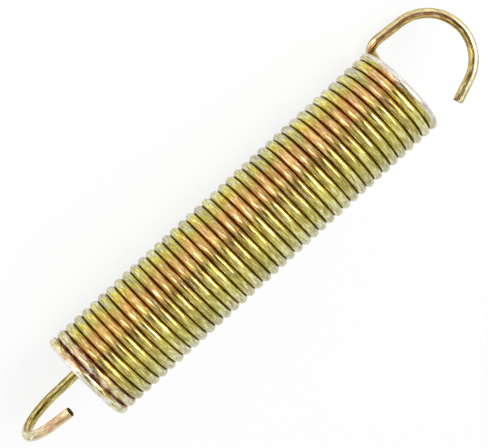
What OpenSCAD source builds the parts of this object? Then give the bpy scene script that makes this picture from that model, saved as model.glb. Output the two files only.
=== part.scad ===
// Extension spring, close wound right-handed from one length of round wire, with an open
// side hook bent up from the last turn at each end. It lies along X on its coil, with the
// root of a hook on either side of the line that it rests on, so that it can't roll away.

/* [Wire] */
// Diameter of the spring wire
wire_d = 2.5; // [2:0.1:2.5]

/* [Coil] */
// Mean diameter of the coil, measured between wire centres
coil_mean_d = 22.5; // [20:0.5:28]
// Whole turns in the coil
turns = 40; // [4:1:48]
// Distance along the coil from one turn to the next
pitch = 2.592; // [2.592:0.018:2.79]

/* [Hooks] */
// Angle that the wire runs on round the coil past its last whole turn
hook_wrap = 10.97; // [8:0.01:20]
// Length of straight wire that leaves the coil on a tangent
root_feed = 3.1; // [2.6:0.1:3.6]
// Roll of the wire before the root bend; at 90 the leg would be square to the radius
root_roll = 86; // [84:0.5:90]
// Mean radius of the root bend, which turns the wire up into the leg
root_bend_r = 3; // [2.6:0.1:3.4]
// Angle of the root bend, a little past square so that the leg leans in
root_bend_angle = 92.25; // [90:0.25:94]
// Length of the straight leg between the root bend and the bow
leg_length = 6.5; // [3:0.5:20]
// Roll of the wire before the first bow, which brings the bow over the middle of the coil
first_bow_roll = -64.2; // [-66:0.1:-56]
// The same roll at the second hook, which is bent by hand and differs a little
second_bow_roll = -61.5; // [-66:0.1:-56]
// Mean radius of the bow
bow_r = 11.1; // [9:0.1:13]
// Angle through which the bow is bent
bow_angle = 154.77; // [130:0.01:180]
// Length of the straight end past the bow
tip_length = 5.9; // [2:0.1:8]

/* [Hidden] */
$fn = 32;
wire_colour = "darkkhaki";

coil_r = coil_mean_d / 2;
half_turns = 2 * turns;
climb = pitch / 2;
tilt = asin(climb / coil_mean_d);
coil_length = half_turns * climb;

// How the first hook and then the second are formed from the end of the whole turns. A step is
// a straight feed, a roll about the wire's own line, then the radius and the angle of a bend
// to the left.
hook_steps = [
    for (bow_roll = [first_bow_roll, second_bow_roll])
        each [
            [0, 0, coil_r, hook_wrap],
            [root_feed, root_roll, root_bend_r, root_bend_angle],
            [leg_length, bow_roll, bow_r, bow_angle],
            [tip_length, 0, bow_r, 0]
        ]
];
steps_per_hook = len(hook_steps) / 2;

// Wire along Y from the origin
module straight(length) {
    rotate([-90, 0, 0])
        cylinder(h = length, d = wire_d);
}

// Wire bent round the Z axis, from the X axis on
module bend(bend_r, angle) {
    rotate_extrude(angle = angle)
        translate([bend_r, 0])
            circle(d = wire_d);
}

// The frame of one half turn of the coil, tilted by just enough to climb to the next, so that
// half turns meet in the same disc and run on in the same direction
module at_half_turn(i) {
    translate([0, 0, (i + 0.5) * climb])
        rotate([0, 0, 180 * i])
            rotate([0, tilt, 0])
                children();
}

// The frame at the end of the whole turns, where the first step of a hook starts
module at_hook(first) {
    at_half_turn(first ? 0 : half_turns - 1)
        rotate(first ? [180, 0, 0] : [0, 0, 180])
            translate([coil_r, 0, 0])
                rotate([0, tilt, 0])
                    children();
}

// The frame in which bend i of a hook turns about Z, after the earlier steps and its own feed
// and roll
module at_bend(i) {
    if (i % steps_per_hook == 0)
        along_step(i)
            children();
    else
        at_bend(i - 1)
            rotate([0, 0, hook_steps[i - 1][3]])
                translate([hook_steps[i - 1][2], 0, 0])
                    along_step(i)
                        children();
}

module along_step(i) {
    translate([0, hook_steps[i][0], 0])
        rotate([0, hook_steps[i][1], 0])
            translate([-hook_steps[i][2], 0, 0])
                children();
}

// The wire that step i of a hook forms: its bend, and the straight before it
module hook_piece(i) {
    at_bend(i) {
        if (hook_steps[i][3] > 0)
            bend(hook_steps[i][2], hook_steps[i][3]);
        if (hook_steps[i][0] > 0)
            translate([hook_steps[i][2], -hook_steps[i][0], 0])
                straight(hook_steps[i][0]);
    }
}

// The half turns of the coil, then the steps of the first hook and of the second, in one run
// so that all are joined at once
module wire_piece(i) {
    step = i - half_turns;
    if (i < half_turns)
        at_half_turn(i)
            bend(coil_r, 180);
    else
        at_hook(step < steps_per_hook)
            hook_piece(step);
}

module spring_wire() {
    color(wire_colour)
        translate([-coil_length / 2, 0, coil_r + wire_d / 2])
            rotate([0, 90, 0])
                for (i = [0 : half_turns + len(hook_steps) - 1])
                    wire_piece(i);
}

spring_wire();
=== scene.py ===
"""A close wound extension spring of yellow passivated wire with an open side hook at each end.

It lies along X on its coil, with the root of a hook on either side of the line it rests on.
Shapes are worked out in millimetres and put into the meshes in metres.
"""
import bmesh
import bpy
import numpy as np
from mathutils import Matrix, Vector


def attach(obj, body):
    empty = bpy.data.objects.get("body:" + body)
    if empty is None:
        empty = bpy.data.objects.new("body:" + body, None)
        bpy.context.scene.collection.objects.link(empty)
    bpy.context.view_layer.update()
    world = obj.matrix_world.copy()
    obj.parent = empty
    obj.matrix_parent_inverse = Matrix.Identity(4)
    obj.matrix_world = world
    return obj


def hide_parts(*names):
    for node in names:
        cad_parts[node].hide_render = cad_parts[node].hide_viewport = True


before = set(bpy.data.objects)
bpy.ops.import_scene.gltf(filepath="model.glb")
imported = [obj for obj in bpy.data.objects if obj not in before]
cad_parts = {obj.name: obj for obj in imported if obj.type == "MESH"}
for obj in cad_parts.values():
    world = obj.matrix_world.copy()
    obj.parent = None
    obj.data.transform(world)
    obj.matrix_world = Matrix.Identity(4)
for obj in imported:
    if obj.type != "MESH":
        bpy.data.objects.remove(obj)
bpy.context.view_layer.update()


# Camera: a long lens looks down on the spring from one side, and is turned so that the coil
# runs from the lower left of the picture to the upper right.

MM = 0.001
camera_at = Vector((-6.262, 352.202, 299.181)) * MM
camera_aim = Vector((0.957, 2.508, 12.5)) * MM
picture_up = Vector((0.675458, 0.475791, -0.563364))

lens = bpy.data.cameras.new("long_lens")
lens.sensor_width = 36
lens.lens = 139.2
lens.clip_start = 0.05
camera = bpy.data.objects.new("camera", lens)
bpy.context.collection.objects.link(camera)
bpy.context.scene.camera = camera
back = (camera_at - camera_aim).normalized()
right = picture_up.cross(back).normalized()
turned = Matrix((right, back.cross(right), back)).transposed()
camera.matrix_world = Matrix.Translation(camera_at) @ turned.to_4x4()


# Spring wire: one length of round spring steel, coiled close on a mandrel. The end of the last
# turn on each side is bent up into a leg, rolled into an open bow and sheared off.

wire_r = 1.25
coil_r = 11.25
turns = 40
pitch = 2.592
level_turns = 1.2       # turns at each end that are level where they meet the floor, as in the solid
even_after = 12.0       # turns further in by which the coil climbs evenly
flattened = 0.032       # how much wider than round the wire is where coiling has spread it
round_for = 20.0        # degrees from each end over which it gets that wide
squeeze = 0.99834       # cosine of the angle at which each half turn of the solid climbs
axis_height = coil_r + wire_r

# Each hook: the coil goes on by some degrees, the wire runs straight to the root, is rolled
# about itself and bent up there, runs on as the leg, is rolled again and bent into the bow,
# and ends in a straight tip
hook_wrap = 10.97
root_feed, root_roll, root_r, root_bend = 3.1, 86.0, 3.0, 92.25
leg_length = 6.5
first_bow_roll, second_bow_roll = -64.2, -61.5
bow_r, bow_bend = 11.1, 154.77
tip_length = 5.9
first_slant, second_slant = 0.05, -0.04     # slope of each sheared end

# The mesh has this many rings in a turn of the coil, rings at most this far apart on the
# hooks, and this many points on a ring
rings_per_turn = 72
straight_spacing, bow_spacing, root_spacing = 0.8, 0.9, 0.45
sides = 24
ring_angles = np.radians(np.arange(sides) * 360.0 / sides)


def unit(v):
    """Vectors along the last axis of v, each divided by its length."""
    return v / np.linalg.norm(v, axis=-1, keepdims=True)


def coil_frames():
    """Ring centres and frames of the coil.

    The centre goes round a circle of the coil's mean radius, squeezed by a hair in one
    direction as the solid is, and climbs by the pitch in each turn. Near the ends it
    follows the solid, whose half turns are level where they join: the climb in a half
    turn grows as one minus the cosine of the angle. Further in it grows as the angle.
    """
    last = 360.0 * turns
    angle = np.linspace(0.0, last, turns * rings_per_turn + 1)
    from_end = np.minimum(angle, last - angle)
    half_turns = np.floor(angle / 180)
    in_half = np.radians(angle - 180 * half_turns)
    stepped = (half_turns + (1 - np.cos(in_half)) / 2) * pitch / 2
    evenly = angle / 360 * pitch
    inward = np.clip((from_end / 360 - level_turns) / even_after, 0.0, 1.0)
    rise = stepped + inward * (evenly - stepped)
    a = np.radians(angle)
    out = np.stack([np.cos(a), np.sin(a), 0 * a], -1)
    centre = coil_r * out * [squeeze, 1, 0] + np.stack([0 * a, 0 * a, rise], -1)
    heading = unit(np.gradient(centre, axis=0))
    heading[[0, -1]] = [0.0, 1.0, 0.0]
    side = unit(np.cross(out, heading))
    wide = 1 + flattened * np.clip(from_end / round_for, 0.0, 1.0)[:, None]
    return centre, np.cross(heading, side), side * wide, heading, 0 * a


def hook_frames(sense, rise, bow_roll):
    """Ring centres and frames of a hook, from the end of the whole turns to its tip.

    Each step is a straight feed along the heading, a roll about it, and an arc to the
    left: the centre swings about a point one bend radius away, and the frame turns
    with it. The last value of each ring is how far the frame has rolled, so that the
    rings themselves don't twist. Sense is -1 for the first hook, which runs backwards.
    """
    at = np.array([coil_r * squeeze, 0.0, rise])
    out, heading, side = np.diag([1.0, sense, sense])
    rolled = 0.0
    parts = []
    steps = [           # straight feed, roll about the wire, bend radius, bend angle
        (0.0, 0.0, coil_r, hook_wrap),
        (root_feed, root_roll, root_r, root_bend),
        (leg_length, bow_roll, bow_r, bow_bend),
        (tip_length, 0.0, 0.0, 0.0),
    ]
    for feed, roll, bend_r, bend in steps:
        along = np.linspace(0.0, feed, int(np.ceil(feed / straight_spacing)) + 1)[:-1, None]
        same = np.ones_like(along)
        roll_before = 0 * along[:, 0] + rolled
        parts.append((at + along * heading, same * out, same * side, same * heading, roll_before))
        at = at + feed * heading
        c, s = np.cos(np.radians(roll)), np.sin(np.radians(roll))
        out, side = c * out - s * side, s * out + c * side
        rolled += np.radians(roll)
        spacing = root_spacing if bend_r == root_r else bow_spacing
        arcs = int(np.ceil(np.radians(bend) * bend_r / spacing))
        t = np.radians(np.linspace(0.0, bend, arcs + 1))[:, None]
        swung = out * np.cos(t) + heading * np.sin(t)
        ahead = heading * np.cos(t) - out * np.sin(t)
        centre = at + bend_r * (swung - out)
        same = np.ones_like(t[:-1])
        roll_after = 0 * t[:-1, 0] + rolled
        parts.append((centre[:-1], swung[:-1], same * side, ahead[:-1], roll_after))
        at, out, heading = centre[-1], swung[-1], ahead[-1]
    parts.append((at[None], out[None], side[None], heading[None], np.array([rolled])))
    return [np.concatenate(column) for column in zip(*parts)]


def rings(frames, sense, shrink=1.0, ahead=0.0, slant=0.0):
    """Points of each ring: a circle of the wire's radius across the heading, which is
    wider where the frame's side vector is longer than one.

    Each point keeps its angle round the wire from ring to ring, so the frame's roll is
    added to it. The ring is shrunk, moved ahead, and leant by the slant.
    """
    centre, out, side, heading, rolled = frames
    angle = sense * ring_angles[None, :] + rolled[:, None]
    radius = np.broadcast_to(shrink, len(centre))[:, None] * wire_r
    ahead = np.broadcast_to(ahead, len(centre))[:, None]
    lean = ahead + slant * np.cos(ring_angles)[None, :] * radius
    across = np.cos(angle)[..., None] * out[:, None] + np.sin(angle)[..., None] * side[:, None]
    return centre[:, None] + radius[..., None] * across + lean[..., None] * heading[:, None]


# The rings that round the rim of a sheared end and close its face: the size of each as a
# share of the wire's, how far ahead of the wire's last ring it stands, and whether it is on
# the cut
end_shrink = np.array([1.0, 0.965, 0.88, 0.6, 0.3, 0.0])
end_ahead = np.array([-0.12, -0.03, 0.0, 0.02, 0.03, 0.03])
on_cut = np.array([0.0, 0.0, 1.0, 1.0, 1.0, 1.0])


def sheared_end(frames, sense, slant):
    """The rings of a sheared end, all on the last frame of the hook."""
    last = [np.repeat(f[-1:], len(end_shrink), axis=0) for f in frames]
    return rings(last, sense, end_shrink, end_ahead, slant)


coil = coil_frames()
first = hook_frames(-1, 0.0, first_bow_roll)
second = hook_frames(1, turns * pitch, second_bow_roll)
runs = [                # rings, 1 on the cut face, 1 on a hook
    (sheared_end(first, -1, first_slant)[::-1], on_cut[::-1], 1.0),
    (rings(first, -1)[1:-1][::-1], 0.0, 1.0),
    (rings(coil, 1), 0.0, 0.0),
    (rings(second, 1)[1:-1], 0.0, 1.0),
    (sheared_end(second, 1, second_slant), on_cut, 1.0),
]
points = np.concatenate([run for run, cut, hook in runs])
cut_face = np.concatenate([np.broadcast_to(cut, len(run)) for run, cut, hook in runs])[:, None]
on_hook = np.concatenate([np.broadcast_to(hook, len(run)) for run, cut, hook in runs])[:, None]
n_rings = len(points)
centres = points.mean(axis=1)
run_length = np.cumsum(np.linalg.norm(np.diff(centres, axis=0), axis=1))
run_length = np.concatenate([[0.0], run_length])[:, None]
coiled = run_length[on_hook < 0.5]
turn = np.clip((run_length - coiled[0]) / np.ptp(coiled), 0, 1) * turns

# The coil is worked out with its axis along Z and then tipped over, so that the whole turns
# start and end at the point where it meets the floor
tipped = np.stack([points[..., 2], points[..., 1], -points[..., 0]], -1)
tipped = tipped + [-turns * pitch / 2, 0.0, axis_height]

grid = np.arange(n_rings * sides).reshape(n_rings, sides)
here, there = grid[:-1], grid[1:]
quads = np.stack([here, there, np.roll(there, -1, axis=1), np.roll(here, -1, axis=1)], -1)
quads = quads.reshape(-1, 4)

mesh = bpy.data.meshes.new("spring_wire_surface")
mesh.from_pydata((tipped.reshape(-1, 3) * MM).tolist(), [], quads.tolist())
mesh.polygons.foreach_set("use_smooth", np.ones(len(quads), bool))

# Where each point lay on the straight wire before it was coiled, in millimetres
straight = np.stack([
    np.broadcast_to(wire_r * np.cos(ring_angles), (n_rings, sides)),
    np.broadcast_to(wire_r * np.sin(ring_angles), (n_rings, sides)),
    np.broadcast_to(run_length, (n_rings, sides)),
], -1)
drawn = mesh.attributes.new("drawn_wire", "FLOAT_VECTOR", "POINT")
drawn.data.foreach_set("vector", straight.reshape(-1).astype(np.float32))

# Which way the surface faces: 1 on the outside of the coil or bow, -1 on its inside. The
# middle of a bow is taken one bow radius in from the end of the tip
bow_middles = [f[0][-1] - bow_r * f[1][-1] for f in (first, second)]
in_first_half = np.arange(n_rings)[:, None] < n_rings // 2
middle = np.where(on_hook > 0.5, np.where(in_first_half, *bow_middles), centres * [0, 0, 1])
ahead = unit(np.gradient(centres, axis=0))
away = centres - middle
away = unit(away - (away * ahead).sum(-1, keepdims=True) * ahead)
no_zero = 1e-9          # keeps the points where an end closes from dividing by nothing
outer = (unit(points - centres[:, None] + no_zero) * away[:, None]).sum(-1)

# How far a point lies in the groove between two turns: 0 on the crown of the wire, 1 where
# the next turn touches. The flanks of the first and last turn that face outwards have no
# neighbour, and are painted as rubbed bare zinc instead, on the last turn also a painted highlight: to
# 0.3 of the wire's radius past its crown there, on the first to 0.15 short of it. The mark is above 0
# there, and -1 off those turns.
last_reach, first_reach = 0.3, -0.15
fade = 1 / 8            # part of a turn over which a neighbour begins or ends
toward_end = np.broadcast_to(np.sin(ring_angles), (n_rings, sides))
next_turn = np.clip((turns - 1 - turn) / fade + 0.5, 0, 1)
turn_before = np.clip((turn - 1) / fade + 0.5, 0, 1)
groove = np.maximum(toward_end * next_turn, -toward_end * turn_before) * (1 - on_hook)
last_flank = (1 + last_reach + toward_end) * (1 - next_turn)
first_flank = (1 + first_reach - toward_end) * (1 - turn_before)
rubbed_and_lit = np.maximum(last_flank, first_flank) * (1 - on_hook) - 1

marks = {
    "outer": outer, "groove": groove, "rubbed_and_lit": rubbed_and_lit,
    "on_hook": on_hook, "cut_face": cut_face, "turn": turn,
}
for name, values in marks.items():
    attribute = mesh.attributes.new(name, "FLOAT", "POINT")
    on_points = np.broadcast_to(values, (n_rings, sides)).reshape(-1)
    attribute.data.foreach_set("value", on_points.astype(np.float32))

# The rings that have shrunk to nothing become one point each
shell = bmesh.new()
shell.from_mesh(mesh)
bmesh.ops.remove_doubles(shell, verts=shell.verts, dist=1e-6)
bmesh.ops.recalc_face_normals(shell, faces=shell.faces)
shell.to_mesh(mesh)
shell.free()

wire = bpy.data.objects.new("spring_wire_finish", mesh)
bpy.context.collection.objects.link(wire)

# Zinc plate under a yellow chromate film, whose colour goes from straw green to gold, orange and rose.
# Round the coil it is painted as it looks from the camera, with painted reflection and shade: pale near
# the outline, lighter and darker where lamps and tent are mirrored.
finish = bpy.data.materials.new("yellow_passivated_wire")
finish.use_nodes = True
nodes, links = finish.node_tree.nodes, finish.node_tree.links
shader = nodes["Principled BSDF"]
shader.inputs["Metallic"].default_value = 1.0
shader.inputs["Specular Tint"].default_value = (0.82, 0.80, 0.66, 1.0)
shader.inputs["Coat Weight"].default_value = 0.32
shader.inputs["Coat Roughness"].default_value = 0.12


def put(kind, inputs, **settings):
    """A new node: its settings are set, and each input gets a value or a link."""
    made = nodes.new("ShaderNode" + kind)
    for name, value in settings.items():
        setattr(made, name, value)
    for key, value in inputs.items():
        if isinstance(value, bpy.types.NodeSocket):
            links.new(value, made.inputs[key])
        else:
            made.inputs[key].default_value = value
    return made


def sums(operation, *terms):
    """One Math node on values or sockets."""
    return put("Math", dict(enumerate(terms)), operation=operation).outputs[0]


def ramp(position, stops):
    """A Color Ramp through the stops, each a position and a colour."""
    made = put("ValToRGB", {"Fac": position})
    while len(made.color_ramp.elements) < len(stops):
        made.color_ramp.elements.new(0.5)
    for element, (at, colour) in zip(made.color_ramp.elements, stops):
        element.position = at
        element.color = (*colour, 1.0)
    return made.outputs["Color"]


def between(value, low, high, to_low=0.0, to_high=1.0):
    """Map Range, smooth, and clamped at both ends."""
    limits = {"From Min": low, "From Max": high, "To Min": to_low, "To Max": to_high}
    return put("MapRange", {"Value": value, **limits}, interpolation_type="SMOOTHSTEP").outputs[0]


def blend(amount, first_colour, second_colour):
    """Mix of two colours. Sockets 6, 7 and 2 are the ones for colours."""
    return put("Mix", {0: amount, 6: first_colour, 7: second_colour}, data_type="RGBA").outputs[2]


def mark(name):
    """One of the mesh's own values."""
    return put("Attribute", {}, attribute_name=name).outputs["Fac"]


drawn_at = put("Attribute", {}, attribute_name="drawn_wire").outputs["Vector"]
from_tip = put("SeparateXYZ", {0: drawn_at}).outputs["Z"]
hook_mask = mark("on_hook")
groove_depth = mark("groove")
turn_number = mark("turn")
outer_side = mark("outer")

# The angle round the coil, from 0 to 1, with 0.5 towards +Y
place = put("SeparateXYZ", {0: put("TexCoord", {}).outputs["Object"]}).outputs
above_axis = sums("SUBTRACT", place["Z"], axis_height * MM)
around = sums("ARCTAN2", above_axis, place["Y"])
bearing = sums("MULTIPLY_ADD", around, 1 / (2 * np.pi), 0.5)


def streaks(width, length, detail=2.0, rough=0.55):
    """Noise drawn out along the wire, with streaks of about that width and length in mm."""
    stretch = (1 / width, 1 / width, 1 / length)
    stretched = put("Mapping", {"Vector": drawn_at, "Scale": stretch}).outputs[0]
    inputs = {"Vector": stretched, "Scale": 1.0, "Detail": detail, "Roughness": rough}
    return put("TexNoise", inputs).outputs["Fac"]


fine = streaks(0.17, 4.0)
broad = streaks(0.5, 5.0)
patches = streaks(1.2, 3.0, detail=3.0)
flecks = streaks(0.32, 0.8)
scuffs = streaks(0.40, 2.4, detail=3.0, rough=0.65)
grains = streaks(0.22, 0.35, rough=0.7)
lines = streaks(0.30, 7.0, detail=1.0)
swells = streaks(1.8, 9.0, detail=1.0)
turn_noise = {"W": turn_number, "Scale": 0.9, "Detail": 1.0}
per_turn = put("TexNoise", turn_noise, noise_dimensions="1D").outputs["Fac"]

# The film's colour round the coil, with painted reflection and shade in it, moved to and fro by the
# patches and from turn to turn
patch_wander = sums("MULTIPLY_ADD", patches, 0.20, -0.10)
turn_wander = sums("MULTIPLY_ADD", per_turn, 0.10, -0.05)
film_at = sums("ADD", bearing, sums("ADD", patch_wander, turn_wander))
film_and_reflection = ramp(film_at, [
    (0.00, (0.62, 0.52, 0.24)), (0.20, (0.66, 0.46, 0.16)), (0.33, (0.80, 0.78, 0.50)),
    (0.39, (0.92, 0.90, 0.80)), (0.43, (0.76, 0.75, 0.44)), (0.47, (0.74, 0.69, 0.15)),
    (0.51, (0.64, 0.39, 0.05)), (0.55, (0.66, 0.35, 0.10)), (0.59, (0.68, 0.45, 0.11)),
    (0.64, (0.66, 0.54, 0.13)), (0.69, (0.78, 0.69, 0.17)), (0.73, (0.70, 0.66, 0.17)),
    (0.77, (0.88, 0.84, 0.42)), (0.81, (0.70, 0.67, 0.40)), (0.85, (0.34, 0.33, 0.20)),
    (0.95, (0.62, 0.54, 0.26)),
])

# Lemon patches, mostly towards the first hook, and rose ones, mostly towards the second
lemon = (0.74, 0.69, 0.09, 1)
lemon_patches = sums("MULTIPLY", between(patches, 0.46, 0.58), between(turn_number, 34, 6, 0.15, 0.7))
film_and_reflection = blend(sums("MULTIPLY", lemon_patches, between(bearing, 0.50, 0.46)), film_and_reflection, lemon)
rose = (0.74, 0.31, 0.20, 1)
rose_patches = sums("MULTIPLY", between(broad, 0.42, 0.58), between(turn_number, 8, 34, 0.1, 0.7))
rose_band = sums("MULTIPLY", between(bearing, 0.48, 0.52), between(bearing, 0.62, 0.56))
film_and_reflection = blend(sums("MULTIPLY", rose_patches, rose_band), film_and_reflection, rose)

# Dark lines along the wire on the side where the highlights lie: drawing lines, and a painted
# reflection of the tent's dark lens opening
line_and_reflection_brown = (0.20, 0.11, 0.01, 1)
dark_reflection_band = sums("MULTIPLY", between(bearing, 0.56, 0.60), between(bearing, 0.69, 0.65, 0.25, 1.0))
dark_lines_and_reflection = sums("MULTIPLY", dark_reflection_band, between(lines, 0.52, 0.60, 0.0, 0.7))
film_and_reflection = blend(dark_lines_and_reflection, film_and_reflection, line_and_reflection_brown)

# The crown of each turn is painted paler along one side of the coil: a painted highlight
crown_highlight_gold = (0.97, 0.62, 0.24, 1)
on_crown = sums("MULTIPLY", between(outer_side, 0.80, 0.98), between(bearing, 0.50, 0.53))
painted_crown_highlight = sums("MULTIPLY", on_crown, between(bearing, 0.585, 0.56, 0.0, 0.45))
film_and_reflection = blend(painted_crown_highlight, film_and_reflection, crown_highlight_gold)

# On a hook the colour across the wire is painted as seen from the camera: pale cream outside the bend
# as a painted highlight, darker at the edges, and dark brown in a streak that follows the inside of it
uneven_side = sums("ADD", outer_side, sums("MULTIPLY_ADD", broad, 0.3, -0.15))
round_hook = sums("MULTIPLY_ADD", uneven_side, 0.5, 0.5)
hook_film_and_highlight = ramp(round_hook, [
    (0.02, (0.44, 0.36, 0.10)), (0.10, (0.74, 0.62, 0.18)), (0.22, (0.78, 0.50, 0.14)),
    (0.29, (0.22, 0.09, 0.01)), (0.37, (0.05, 0.02, 0.01)), (0.42, (0.50, 0.22, 0.08)),
    (0.49, (0.90, 0.70, 0.42)), (0.58, (1.00, 0.93, 0.64)), (0.80, (0.93, 0.84, 0.44)),
    (0.92, (0.74, 0.65, 0.27)), (1.00, (0.40, 0.34, 0.12)),
])

# The low part of the second hook is rose and gold, with a pale painted highlight. The tip of the first
# is copper, and its bow is flecked where it has rubbed
low_hook_film_and_highlight = ramp(round_hook, [
    (0.05, (0.52, 0.36, 0.08)), (0.20, (0.84, 0.60, 0.18)), (0.30, (0.20, 0.07, 0.02)),
    (0.36, (0.46, 0.18, 0.08)), (0.44, (0.68, 0.30, 0.16)), (0.58, (0.76, 0.40, 0.22)),
    (0.68, (1.00, 0.84, 0.50)), (0.82, (0.86, 0.66, 0.26)), (0.95, (0.46, 0.36, 0.10)),
])
second_half = between(place["X"], 0.0, 0.01)
hook_film_and_highlight = blend(sums("MULTIPLY", second_half, between(place["Z"], 0.013, 0.009)), hook_film_and_highlight, low_hook_film_and_highlight)
copper = (0.92, 0.48, 0.22, 1)
hook_film_and_highlight = blend(between(from_tip, 14, 9, 0.0, 0.85), hook_film_and_highlight, copper)
chalk = (0.98, 0.96, 0.86, 1)
on_bow = sums("MULTIPLY", between(from_tip, 30, 24), between(from_tip, 5, 14, 0.4, 1.0))
flecked = sums("MULTIPLY", on_bow, between(sums("ADD", outer_side, grains), 0.6, 1.1))
hook_film_and_highlight = blend(sums("MULTIPLY", flecked, between(grains, 0.48, 0.54)), hook_film_and_highlight, chalk)

# The coil's far sides are speckled white and grey, a painted sparkle of glints
painted_glint_white, speck_grey = (0.98, 0.97, 0.88, 1), (0.36, 0.37, 0.22, 1)
far_side = sums("MAXIMUM", between(bearing, 0.44, 0.39), between(bearing, 0.75, 0.80))
film_and_reflection = blend(sums("MULTIPLY", far_side, between(grains, 0.50, 0.56, 0.0, 0.75)), film_and_reflection, painted_glint_white)
film_and_reflection = blend(sums("MULTIPLY", far_side, between(grains, 0.49, 0.42, 0.0, 0.70)), film_and_reflection, speck_grey)
colour = blend(hook_mask, film_and_reflection, hook_film_and_highlight)

# Green and brown flecks in the film, thin pale scratches along the wire, and painted shade in the
# grooves between turns, dark red between the first turns
moss, umber, pale_scratch = (0.36, 0.38, 0.05, 1), (0.26, 0.15, 0.03, 1), (0.90, 0.85, 0.62, 1)
painted_groove_shade, painted_red_gap_shade = (0.28, 0.10, 0.002, 1), (0.26, 0.06, 0.03, 1)
colour = blend(between(flecks, 0.50, 0.68, 0.0, 0.55), colour, moss)
colour = blend(between(fine, 0.52, 0.66, 0.0, 0.8), colour, umber)
colour = blend(between(scuffs, 0.55, 0.66, 0.0, 0.6), colour, pale_scratch)
# Painted shade in the grooves where the turns touch, dark red between the first two
colour = blend(between(groove_depth, 0.78, 1.0), colour, painted_groove_shade)
first_gaps = sums("MULTIPLY", between(turn_number, 2.0, 1.6), between(groove_depth, 0.25, 0.75))
colour = blend(sums("MULTIPLY", first_gaps, 0.85), colour, painted_red_gap_shade)

# Bare pinkish and white zinc where the end turns have been rubbed, and in scuffs on the first two. On
# the last turn's outward flank it is also a painted highlight
pink_zinc, white_zinc_and_highlight = (0.80, 0.58, 0.48, 1), (1.00, 0.97, 0.92, 1)
lit_rubbed_side = sums("SUBTRACT", mark("rubbed_and_lit"), between(bearing, 0.46, 0.40, 0.0, 0.6))
ragged = sums("ADD", lit_rubbed_side, sums("MULTIPLY_ADD", grains, 1.8, -0.9))
first_turns = sums("MULTIPLY", between(turn_number, 2.3, 1.6), between(hook_mask, 0.5, 0.0))
scuffed = sums("MULTIPLY", first_turns, between(scuffs, 0.46, 0.60, 0.0, 0.65))
bare_and_lit_zinc = sums("MAXIMUM", between(ragged, 0.05, 0.45), scuffed)
colour = blend(bare_and_lit_zinc, colour, blend(between(grains, 0.40, 0.50), pink_zinc, white_zinc_and_highlight))

# Brightness varies with the patches, from turn to turn and with the scuffs
by_patch = between(patches, 0.36, 0.62, 0.84, 1.16)
by_turn = between(per_turn, 0.35, 0.65, 0.84, 1.13)
by_scuff = between(scuffs, 0.38, 0.62, 0.80, 1.22)
worn_thin = sums("MULTIPLY", sums("MULTIPLY", by_patch, by_turn), by_scuff)
colour = put("HueSaturation", {"Value": worn_thin, "Color": colour}).outputs[0]
# The sheared end faces are dark brown, partly painted shade
cut_brown = (0.16, 0.12, 0.09, 1)
colour = blend(mark("cut_face"), colour, cut_brown)
links.new(colour, shader.inputs["Base Color"])

# The fine streaks are duller than the rest, and the grooves duller still
dulled = sums("ADD", between(fine, 0.35, 0.75, 0.16, 0.34), between(groove_depth, 0.7, 1.0, 0.0, 0.25))
links.new(dulled, shader.inputs["Roughness"])

# Drawing has marked the wire lengthwise: fine scores on broad ones on long swells
drag = sums("ADD", sums("MULTIPLY", fine, 0.5), sums("ADD", broad, sums("MULTIPLY", swells, 3.0)))
scored = put("Bump", {"Strength": 0.6, "Distance": 0.09 * MM, "Height": drag})
links.new(scored.outputs["Normal"], shader.inputs["Normal"])
mesh.materials.append(finish)

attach(wire, "root")
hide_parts("spring_wire")


# Floor and light: a plain white table in a light tent, with two soft lamps. The wire mirrors
# the tent's dark opening as the darker middle of each turn.

half = 3                # half the table's width, in metres
corners = [(-half, -half, 0), (half, -half, 0), (half, half, 0), (-half, half, 0)]
floor_mesh = bpy.data.meshes.new("table_top")
floor_mesh.from_pydata(corners, [], [(0, 1, 2, 3)])
floor = bpy.data.objects.new("floor", floor_mesh)
bpy.context.collection.objects.link(floor)

paper = bpy.data.materials.new("white_table")
paper.use_nodes = True
nodes, links = paper.node_tree.nodes, paper.node_tree.links
paper_shader = nodes["Principled BSDF"]
paper_shader.inputs["Base Color"].default_value = (0.92, 0.92, 0.92, 1)
paper_shader.inputs["Roughness"].default_value = 0.9

# Seen by the camera, and in the metal, the paper is lifted most of the way to white
lift = 0.84
rays = put("LightPath", {}).outputs
seen = sums("MAXIMUM", rays["Is Camera Ray"], rays["Is Glossy Ray"])
seen = sums("MAXIMUM", seen, rays["Is Transmission Ray"])
white = put("Emission", {"Color": (1, 1, 1, 1)}).outputs[0]
lifted = put("MixShader", {0: sums("MULTIPLY", seen, lift), 1: paper_shader.outputs[0], 2: white})
links.new(lifted.outputs[0], nodes["Material Output"].inputs["Surface"])
floor_mesh.materials.append(paper)


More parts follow.
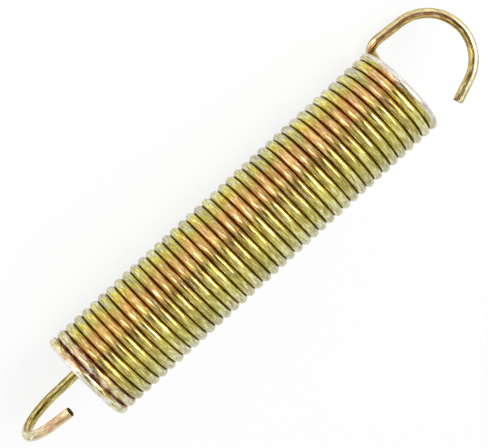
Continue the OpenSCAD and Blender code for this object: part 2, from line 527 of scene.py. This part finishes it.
def softbox(name, raised, swung, width, length, turned_by, power):
    """A rectangular soft lamp that faces the origin from one metre away. Its direction is given
    in degrees, from +Y up towards +Z and then along +X. Before it is turned about its own
    line of sight, its length lies along X."""
    up_by, along_by = np.radians(raised), np.radians(swung)
    level = np.cos(along_by)
    outward = Vector((np.sin(along_by), level * np.cos(up_by), level * np.sin(up_by)))
    upward = Vector((0, -np.sin(up_by), np.cos(up_by)))
    lamp = bpy.data.lights.new(name, "AREA")
    lamp.shape = "RECTANGLE"
    lamp.size, lamp.size_y = length, width
    lamp.energy = power
    box = bpy.data.objects.new(name, lamp)
    bpy.context.collection.objects.link(box)
    facing = Matrix((upward.cross(outward), upward, outward)).transposed().to_4x4()
    spin = Matrix.Rotation(np.radians(turned_by), 4, "Z")
    box.matrix_world = Matrix.Translation(outward) @ facing @ spin


softbox("low_softbox", raised=2, swung=-31, width=0.28, length=1.1, turned_by=-42, power=3.4)
softbox("high_softbox", raised=67, swung=45, width=0.76, length=0.45, turned_by=0, power=5.2)

# The inside of the tent is white cloth. The dark opening for the lens is an oval, given by its
# half height and half width as shares of the tent's radius, and its edge fades
half_height, half_width = 0.27, 0.42
edge_inside, edge_outside = 0.55, 1.15
cloth_white, lens_dark = (0.78, 0.78, 0.78, 1), (0.07, 0.06, 0.05, 1)
world = bpy.data.worlds.new("light_tent")
bpy.context.scene.world = world
world.use_nodes = True
nodes, links = world.node_tree.nodes, world.node_tree.links
from_here = put("TexCoord", {}).outputs["Generated"]
to_lens = put("VectorMath", {0: from_here, 1: tuple(back)}, operation="DOT_PRODUCT").outputs["Value"]
over_lens = (0, -back[2] / half_height, back[1] / half_height)
height = put("VectorMath", {0: from_here, 1: over_lens}, operation="DOT_PRODUCT").outputs["Value"]
width = sums("DIVIDE", put("SeparateXYZ", {0: from_here}).outputs["X"], half_width)
squared = sums("ADD", sums("MULTIPLY", height, height), sums("MULTIPLY", width, width))
off_lens = sums("SQRT", squared)
opening = sums("MULTIPLY", between(off_lens, edge_outside, edge_inside), between(to_lens, 0.0, 0.1))
links.new(blend(opening, cloth_white, lens_dark), nodes["Background"].inputs["Color"])

bpy.context.scene.view_settings.view_transform = "Standard"
